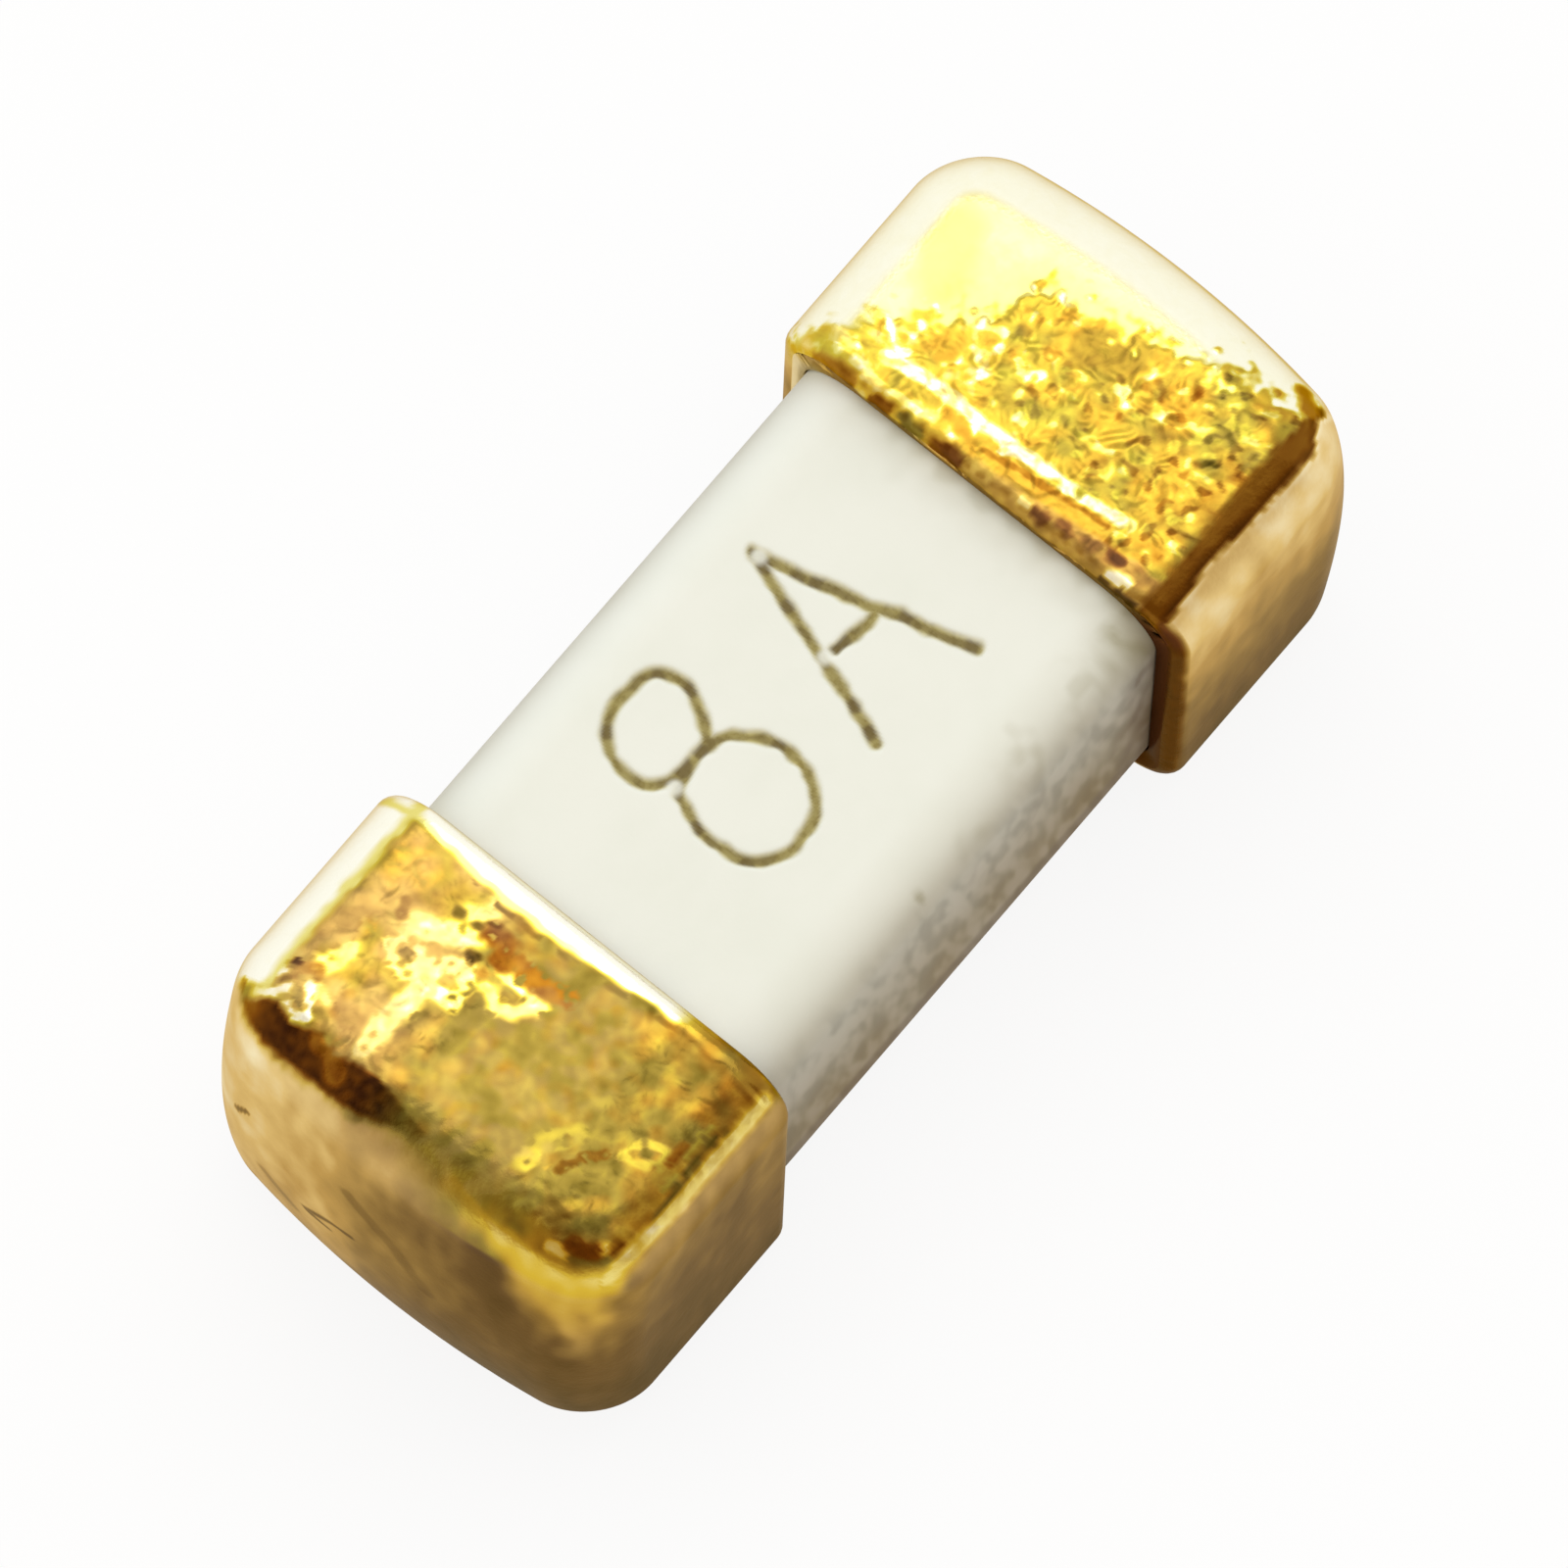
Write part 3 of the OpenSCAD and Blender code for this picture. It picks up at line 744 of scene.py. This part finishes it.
def far_finish(u, y, z):
    """Finish of the cap beyond the letter. Its top is crumpled behind a pitted rim and smooth toward the
    closed end, painted pale there as a highlight; its seen long edge carries a painted dark reflection, and
    its sides are satin with painted shade."""
    p, (fine, small, broad) = skin_noises(u, y, z, ease(y, -0.5, -0.9), 21)
    ruffle = 0.014 * fine + 0.014 * small
    top = ease(z, 1.08, 1.2)
    past_edge = u - between(y, FAR_CRUMPLED_END) - 0.1 * small - 0.12 * fine
    crumpled = ease(-past_edge, -0.06, 0.08)
    behind_rim = ease(u - between(y, FAR_RIM) - 0.02 * small, -0.01, 0.03)
    rough = top * ease(y, -1.02, -0.92) * np.maximum(crumpled * behind_rim, 0.8 * (1 - behind_rim))

    # The crumpled gold with its painted glints, specks and patches, and a painted shadow and a painted
    # highlight line behind the rim
    glints = ease(soft_noise(p, 0.075, 24), 0.2, 0.5)
    specks = ease(soft_noise(p, 0.065, 25), 0.25, 0.55)
    tone = between(y, [(-0.9, 0.55), (-0.3, 0.62), (0.3, 0.69), (0.9, 0.77)]) + 0.06 * broad
    tone = tone + between(y, [(-0.9, 0.16), (0.9, 0.1)]) * (crumple(p, 60) + 0.6 * small + 0.6 * fine)
    tone = tone + 0.2 * glints - between(y, [(-0.5, 0.3), (0.5, 0.12)]) * specks
    hue = between(y, [(-0.9, 0.45), (0.9, 0.75)]) + 0.7 * broad + 0.7 * small - 0.3 * glints
    coat = Coat(tone, hue)
    coat.lay_patches(u, y, FAR_PATCHES, behind_rim, ruffle, 0.08 * fine)
    shadow = streak(u, y, FAR_SHADOW, 0.018, 0.5 * ruffle)
    coat.lay(0.8 * shadow, tone=0.32)
    coat.lay(shadow, hue=1.0)
    # A painted highlight line behind the rim
    highlight_behind_rim = streak(u, y, FAR_HIGHLIGHT_BEHIND_RIM, 0.036, 0.7 * ruffle) * ease(small, -0.8, -0.2)
    coat.lay(highlight_behind_rim, 0.95 + 0.1 * fine)

    # The smooth gold toward the closed end, painted pale as a highlight and near white on the cap's rounded
    # border
    spot = streak(u, y, [(2.14, 0.8), (2.34, 0.9)], 0.14, 0.03 * small)
    inside = np.minimum(0.89 - y, 2.6 - 0.09 * y * y - u)
    smooth = between(past_edge, [(0.0, 0.845), (0.15, 0.868), (0.5, 0.89)])
    smooth = lay(smooth, ease(inside, 0.2, 0.0), 0.89) - 0.05 * spot
    coat.lay(1 - crumpled, lay(smooth, ease(z, 1.248, 1.222), 0.985), 0.3)

    # The rim with its pits
    rim_tone = between(y, [(-0.9, 0.5), (0.0, 0.56), (0.3, 0.66), (0.9, 0.76)]) + 0.14 * fine + 0.14 * small
    rim = Coat(rim_tone, 0.9 + 0.3 * small)
    rim.lay_patches(u, y, FAR_PITS, 1.0, ruffle, 0.06 * fine)
    coat.lay(1 - behind_rim, rim.tone, rim.hue)

    # The painted dark reflection along the seen long edge
    inner = -0.955 + 0.015 * small
    outer = between(u, FAR_BAND_OUTER) + 0.008 * fine
    # Painted dark reflection, darker at its borders
    dark_reflection_band = ease(inner - y, 0.0, 0.025) * ease(z, 0.98, 1.03) * ease(u, 2.86, 2.8)
    border = np.maximum(ease(np.abs(y - inner + 0.01), 0.025, 0.0),
                        ease(np.abs(y - outer - 0.01), 0.035, 0.0))
    coat.lay(dark_reflection_band, 0.24 + 0.05 * small + 0.05 * broad - 0.14 * border, 0.8)

    # The satin sides and end, with painted shade darker downward, a yellow upper border away from the seen
    # side, and painted shade on the rim's seen side
    satin = np.maximum(ease(outer - y, 0.0, 0.02),
                       lay(ease(z, 0.99, 0.93), ease(y, -0.85, -0.6), ease(z, 0.98, 0.66)))
    satin = np.maximum(satin, ease(u + np.maximum(-y - 0.9, 0), 2.9, 2.94) * ease(y, -0.86, -0.92))
    outline = ease(z - 0.01 * fine, 1.03, 0.96) * ease(y, -0.9, -0.8)
    coat.lay(outline, 0.79 + 0.04 * fine, 0.75)
    coat.lay(streak(u, y, [(2.83, -0.86), (2.76, -0.96)], 0.04, ruffle), 0.42, 1.2)
    # The satin's tone is painted shade, darkest low on the sides and paler on the underside
    low = between(z, [
        (-0.98, 0.0), (-0.85, 0.14), (-0.5, 0.3), (-0.15, 0.44), (0.35, 0.64), (0.8, 0.79), (1.12, 0.85),
    ])
    low = lay(low, ease(z, -0.98, -1.15), 0.45) + 0.1 * broad + 0.08 * small
    low = low + 0.06 * ease(u, 2.6, 2.9) + 0.1 * ease(np.abs(y - outer + 0.02), 0.02, 0.0)
    coat.lay(satin, low)
    satin = np.maximum(satin, 0.4 * top * (1 - behind_rim) * ease(y, 0.4, 0.0) * (1 - dark_reflection_band))
    # Painted shade on the rim's seen side: a dark red-brown stripe, less metal
    rim_side_shade = ease(u + 0.015 * small, 1.515, 1.475) * ease(y, -1.06, -1.12)
    coat.lay(rim_side_shade, 0.05 + 0.08 * fine, 1.0)
    return rough, coat, satin * (1 - rim_side_shade), 0.62 * rim_side_shade


def near_finish(u, y, z):
    """Finish of the cap before the figure. Its rim and upper long edge are smooth and painted near white as
    a highlight, its top is crumpled with cream and brown patches, its end's top edge carries a painted dark
    reflection, and its sides are satin with painted shade."""
    p, (fine, small, broad) = skin_noises(u, y, z, ease(y, 1.2, 0.9), 31)
    specks = soft_noise(p, 0.075, 34)
    ruffle = 0.018 * fine + 0.018 * small
    top = ease(z, 1.06, 1.16)
    rim_line = between(y, NEAR_RIM) + 0.015 * small
    long_line = 1.03 + 0.02 * small
    shown = ease(u - rim_line, 0.0, 0.03) * ease(long_line - y, 0.0, 0.03)
    calm = ease(np.hypot((u - 2.25) / 1.1, (y + 0.2) / 0.42), 1.15, 0.6)
    rough = 0.65 * top * shown * ease(u, 2.76, 2.66) * (1 - 0.7 * calm)

    # The crumpled gold and its patches
    tone = between(y, [(-1.0, 0.4), (-0.6, 0.42), (-0.2, 0.39), (0.2, 0.42), (0.5, 0.54), (0.8, 0.57)])
    tone = tone + 0.05 * broad
    tone = tone + 0.15 * ease(u, 2.64, 2.8) * ease(np.abs(y + 0.25), 0.5, 0.25)
    tone = tone + (0.13 - 0.05 * calm) * (crumple(p, 70) + small) + 0.07 * specks
    tone = tone - 0.04 * ease(u, 2.0, 1.75) * ease(y, 0.4, 0.0)
    hue = between(y, [(-1.0, 0.4), (-0.4, 0.0), (0.2, 0.1), (0.6, 0.6)])
    hue = hue + (0.45 - 0.35 * calm) * broad + 0.4 * small - 0.2 * specks
    satin = 0.65 * ease(y, 0.1, 0.5) * ease(broad + 0.5 * small, -0.8, 0.2)
    satin = top * (satin + 0.3 * calm * ease(small + specks, -0.4, 0.4))
    coat = Coat(tone, hue)
    where = top * ease(fine + 0.5 * small, -0.75, -0.35)
    coat.lay_patches(u, y, NEAR_PATCHES, where, ruffle, 0.1 * fine)
    inner_line = ease(np.abs(u - rim_line - 0.04), 0.024, 0.006) * ease(small + broad, 0.1, 0.35)
    coat.lay(inner_line, 0.3)

    # The satin closed end and flanks, with painted shade: darker downward, and on the end darker toward -Y
    outer = between(y, NEAR_BAND_OUTER) + 0.015 * fine
    blur = 0.1 * ease(np.abs(y + 0.25), 0.5, 0.2)
    past = np.maximum(ease(u - outer, -0.03 - blur, 0.04 + blur) * ease(z, 1.2, 1.15), ease(z, 0.99, 0.93))
    past = np.maximum(past, ease(y, -1.15, -1.2))
    # Painted shade on the end: darker toward -Y and downward, paler near the top's middle and on the
    # underside
    end = between(y, [(-1.1, 0.17), (-0.6, 0.22), (-0.1, 0.42), (0.4, 0.76), (0.9, 0.88)])
    end = end - between(z, [(-1.0, 0.25), (-0.6, 0.1), (0.2, 0.0)])
    end = end + 0.2 * ease(z, 0.8, 1.0) * ease(np.abs(y + 0.15), 0.4, 0.1)
    end = lay(end, ease(z, -0.98, -1.15), 0.45)
    # Painted shade on the flanks: darker downward
    flank = between(z, [(-0.98, 0.0), (-0.5, 0.14), (0.2, 0.28), (0.9, 0.42), (1.1, 0.52)])
    flank = flank + 0.1 * ease(u, 1.9, 1.5)
    coat.lay(past, lay(end, ease(-y, 1.0, 1.2) * ease(u, 3.0, 2.8), flank) + 0.1 * broad + 0.08 * small)
    satin = np.maximum(satin, past)

    # The painted highlight along the long edge, and the gold at the seen corner, a painted highlight darker
    # downward
    edge_highlight = streak(u, y, NEAR_LONG_EDGE, 0.034, 0.3 * ruffle) * ease(z, 1.0, 1.05)
    coat.lay(edge_highlight, 0.84 + 0.08 * small, 0.8)
    on_top = top * ease(between(y, NEAR_TOP_END) + 0.02 * small - u, 0.0, 0.03)
    # Painted highlight at the seen corner, darker downward
    corner = ease(between(z, CORNER_ON_END) + 0.06 * small + 0.1 * broad - y, -0.2, 0.2)
    corner = corner * ease(u - between(z, CORNER_ON_FLANK) + 0.06 * small, -0.1, 0.12)
    corner = corner * (1 - on_top) * (1 - 0.7 * edge_highlight) * ease(z, -0.3, 0.5)
    corner_tone = between(z, [(0.0, 0.36), (0.4, 0.52), (0.7, 0.66), (1.0, 0.74), (1.1, 0.77)])
    coat.lay(corner, corner_tone + 0.08 * small, 0.85)
    satin = satin * (1 - 0.65 * corner * ease(z, 0.2, 1.0))

    # The smooth rim and upper long edge, painted near white as a highlight, yellower along their edges
    bright = (1 - shown) * ease(z, 0.9, 1.0) * ease(u, 2.68, 2.62) * ease(y, -0.85, -0.5)
    edge_glow = ease(np.abs(u - rim_line), 0.04, 0.01) * ease(y, -0.4, 0.2)
    edge_glow = np.maximum(edge_glow, ease(np.abs(long_line - y), 0.05, 0.015))
    coat.lay(bright, 1.0 - 0.13 * edge_glow, 0.55 - 0.3 * edge_glow)
    satin = satin * (1 - bright)

    # The painted dark reflection at the closed end, and the scratches below it
    inner = between(y, NEAR_BAND_INNER) + 0.015 * fine
    dark_reflection_band = ease(u - inner, 0.0, 0.03) * ease(outer - u, -0.01, 0.03)
    dark_reflection_band = dark_reflection_band * ease(y + 0.1 * small, -0.12, 0.25) * ease(z, 0.8, 0.95)
    worn = streak(u, y, [(2.68, 0.66), (2.7, 0.58), (2.76, 0.5)], 0.05, ruffle)
    band_tone = 0.05 + 0.2 * ease(y, 0.9, 1.08) + 0.22 * worn + 0.08 * fine + 0.05 * small
    coat.lay(dark_reflection_band, band_tone, ease(y, 0.0, 0.4))
    satin = satin * (1 - dark_reflection_band)
    for points, half, depth in SCRATCHES:
        coat.lay(depth * ease(u, 2.88, 2.93) * streak(y, z, points, half, 0.3 * ruffle), 0.08)
    # The last mask is painted shade along the lower edge
    return rough, coat, satin, 0.35 * ease(z, -0.86, -0.96) * ease(z, -1.1, -1.0)


def cap_grid():
    """The cap's smooth skin as rings, and the count of those that lie inside or on the rim's face: from the
    middle of its floor inside, along the inner wall, over the rounded rim, along the outer wall and over
    the rounded end to the middle of the dome."""
    steps = ((16, 30, 170, 56), 22)
    centre = 1.8
    gap = 0.004
    base, out = section(HALF_CAP, CAP_EDGE_R, *steps)
    inner_base, _ = section(HALF_CAP - CAP_WALL, CAP_EDGE_R - CAP_WALL, *steps)
    pressed, _ = section(BODY_HALF + 0.006, BODY_EDGE_R, *steps)

    inner_turns = np.radians(np.linspace(7.5, 90, 12))
    inside = cap_rings(inner_base, CAP_WALL, np.linspace(RIM_X + 0.1, centre, 4), inner_turns)[::-1]
    inside.append(np.column_stack([np.full(len(base), RIM_X + 0.012), pressed]))
    inside.append(np.column_stack([np.full(len(base), RIM_X), pressed + gap * out]))

    bend = np.linspace(0, np.pi / 2, 7)
    lip = [(RIM_X, CAP_RIM_R + gap)]
    lip += [(RIM_X + CAP_RIM_R * (1 - np.cos(b)), CAP_RIM_R * (1 - np.sin(b))) for b in bend]
    rim = [np.column_stack([np.full(len(base), x), base - e * out]) for x, e in lip]

    turns = np.radians(np.concatenate([
        np.arange(0.45, 56, 0.45), np.arange(56, 84, 0.7), np.linspace(84, 90, 5),
    ]))
    outside = cap_rings(base, 0.0, np.linspace(RIM_X + CAP_RIM_R, centre, 25)[1:], turns)
    return np.stack([*inside, *rim, *outside]), len(inside)


def end_cap(name, node, side, finish, material):
    """A drawn cup as one closed skin, whose rough gold has a real relief. The upper half of its outside is
    drawn down by the crests' height, and the few higher crests are cut at the cap's top."""
    grid, inside_count = cap_grid()
    u, y, z = grid[..., 0], grid[..., 1], grid[..., 2]
    outer = (np.arange(len(grid)) > inside_count)[:, None]
    rough, coat, satin, painted_shade = finish(u, y, z)
    rough = np.where(outer, rough, 0.0)
    # Inside the cap: painted shade, its tone darker toward -Y with a mid tone on top, and the -Y side
    # darkened further
    lip_tone = lay(between(y, [(-1.0, 0.06), (0.0, 0.4), (0.8, 0.95)]), 0.9 * ease(z, 0.95, 1.08), 0.6)
    masks = {
        "rough": rough,
        "tone": np.clip(np.where(outer, coat.tone, lip_tone), 0, 1),
        "hue": np.clip(coat.hue, 0, 1),
        "satin": np.where(outer, satin, 0.5 * ease(y, -1.0, -0.6)),
        "painted_shade": np.where(outer, painted_shade, 0.8 * ease(y, -0.8, -1.0)),
    }
    relief = rough * (0.006 - 0.013 * crumple(grid, 80) - 0.01 * soft_noise(grid, 0.3, 90))
    grid = grid + grid_normals(grid) * relief[..., None]
    height = grid[..., 2] * np.where(outer & (z > 0), 1 - CREST / HALF_CAP, 1)
    grid[..., 2] = np.minimum(height, HALF_CAP) + AXIS_Z
    grid[..., 0] *= side
    new_piece(name, grid, masks, material, [node], turned=side < 0)


ceramic_body()
gold = gold_finish()
end_cap("left_cap", "left_end_cap", -1, near_finish, gold)
end_cap("right_cap", "right_end_cap", 1, far_finish, gold)
inner_finishes = {"fuse_wire": wire_finish, "left_solder": solder_finish, "right_solder": solder_finish}
for node, finish in inner_finishes.items():
    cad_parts[node].data.materials.clear()
    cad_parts[node].data.materials.append(finish())


# Studio

def camera():
    """The photograph's view: a long lens, turned and tilted as fitted to the outline."""
    azimuth, elevation, roll = np.radians([-53.17, 72.63, 2.75])
    distance = 0.160
    half_view = 0.0037467
    back = np.array([
        np.sin(azimuth) * np.cos(elevation), -np.cos(azimuth) * np.cos(elevation), np.sin(elevation)])
    right = np.array([np.cos(azimuth), np.sin(azimuth), 0])
    up = np.cross(back, right)
    right, up = np.cos(roll) * right + np.sin(roll) * up, np.cos(roll) * up - np.sin(roll) * right
    data = bpy.data.cameras.new("camera")
    data.sensor_width = 36.0
    data.lens = data.sensor_width / 2 * distance / half_view
    data.clip_start, data.clip_end = 0.01, 2.0
    made = new_object("camera", data)
    place = Vector((0, 0, AXIS_Z * MM)) + Vector(back) * distance
    turn = Matrix(np.column_stack([right, up, back]).tolist()).to_4x4()
    made.matrix_world = Matrix.Translation(place) @ turn
    bpy.context.scene.camera = made


def lamp(name, direction, distance, size, glow):
    """A square soft lamp that looks at the fuse. glow is how bright its face is, where 1 is white."""
    data = bpy.data.lights.new(name, "AREA")
    data.size = size
    data.energy = glow * np.pi * size**2
    made = new_object(name, data)
    direction = Vector(direction).normalized()
    made.location = Vector((0, 0, AXIS_Z * MM)) + direction * distance
    made.rotation_mode = "QUATERNION"
    made.rotation_quaternion = direction.to_track_quat("Z", "Y")


def seen_directly(w):
    """1 for what the camera sees, also by reflection or through glass, and 0 for the light on surfaces."""
    path = w.node("LightPath")
    seen = w.math("ADD", path.outputs["Is Camera Ray"], path.outputs["Is Glossy Ray"], clamp=True)
    return w.math("ADD", seen, path.outputs["Is Transmission Ray"], clamp=True)


def studio():
    """A white floor and surroundings, a large soft lamp above, and a warm, dim glowing sheet on the camera's
    side, which the gold of the seen sides mirrors. It glows with its own light, which also falls on the
    fuse."""
    world = bpy.data.worlds.new("surroundings")
    world.use_nodes = True
    bpy.context.scene.world = world
    world.cycles.sampling_method = "NONE"
    w = Wiring(world.node_tree)
    background = world.node_tree.nodes["Background"]
    w.put(background.inputs["Color"], w.mix(seen_directly(w), (0.87, 0.87, 0.87, 1), (1, 1, 1, 1)))

    # The floor: near white where it is seen, and grey paper for the light that it casts back
    half = 0.3
    mesh = bpy.data.meshes.new("floor")
    corners = [(-half, -half, 0), (half, -half, 0), (half, half, 0), (-half, half, 0)]
    mesh.from_pydata(corners, [], [(0, 1, 2, 3)])
    floor = new_object("floor", mesh)
    material, w, shader = new_material("floor paper")
    shader.inputs["Base Color"].default_value = (0.5, 0.5, 0.5, 1)
    shader.inputs["Roughness"].default_value = 1.0
    shader.inputs["Specular IOR Level"].default_value = 0.0
    paper = w.node("BsdfDiffuse", {"Color": (0.95, 0.95, 0.95, 1)})
    white = w.node("Emission", {"Color": (1, 1, 1, 1)})
    shown = w.node("MixShader", {0: 0.88, 1: paper.outputs[0], 2: white.outputs[0]})
    lit = w.node("MixShader", {0: seen_directly(w), 1: shader.outputs[0], 2: shown.outputs[0]})
    clear = w.node("BsdfTransparent")
    geometry = w.node("NewGeometry")
    both = w.node("MixShader", {0: geometry.outputs["Backfacing"], 1: lit.outputs[0], 2: clear.outputs[0]})
    w.put(material.node_tree.nodes["Material Output"].inputs["Surface"], both.outputs[0])
    material.cycles.emission_sampling = "NONE"
    mesh.materials.append(material)

    # The glowing cloth: a part of a cylinder round the fuse, glowing with its own dim warm light, hidden
    # from the camera and casting no shadow
    radius, bottom, top = 0.21, 0.03, 0.30
    turn = np.radians(np.linspace(165, 295, 27))
    wall = [np.column_stack([radius * np.cos(turn), radius * np.sin(turn), np.full(len(turn), z)])
            for z in (bottom, top)]
    count = len(turn)
    faces = [(i, i + 1, count + i + 1, count + i) for i in range(count - 1)]
    mesh = bpy.data.meshes.new("glowing_cloth")
    mesh.from_pydata(np.concatenate(wall).tolist(), [], faces)
    cloth = new_object("glowing_cloth", mesh)
    cloth.visible_camera = False
    cloth.visible_shadow = False
    material, w, _ = new_material("glowing cloth")
    # The cloth's own glow, a dim warm light
    glow = w.node("Emission", {"Color": (0.55, 0.43, 0.26, 1)})
    w.put(material.node_tree.nodes["Material Output"].inputs["Surface"], glow.outputs[0])
    mesh.materials.append(material)

    lamp("top lamp", direction=(0.24, 0.19, 0.95), distance=0.25, size=0.20, glow=1.4)


camera()
studio()
bpy.context.scene.view_settings.view_transform = "Standard"
